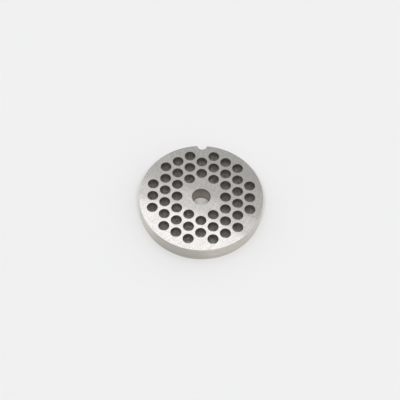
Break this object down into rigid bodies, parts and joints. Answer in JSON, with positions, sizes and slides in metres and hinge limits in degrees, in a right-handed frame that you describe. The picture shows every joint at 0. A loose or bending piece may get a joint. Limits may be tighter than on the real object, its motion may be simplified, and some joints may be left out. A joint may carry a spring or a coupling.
{
  "type": "meat grinder plate",
  "caption": "Flat round steel plate for a meat grinder, with a centre bore, a field of straight grinding holes and a half-round key notch in its rim.",
  "frame": {"origin": "on the bore's axis, in the plane of the back face, which the plate lies on", "axes": "+Z along the bore towards the cutting face, +Y towards the key notch, +X completes the right-handed frame"},
  "size_m": [0.0538, 0.0537, 0.0074],
  "materials": {
    "ground_steel": "ground flat on both faces, turned rim, drilled holes"
  },
  "bodies": {
    "root": {"grinder_plate": "ground_steel"}
  },
  "joints": []
}
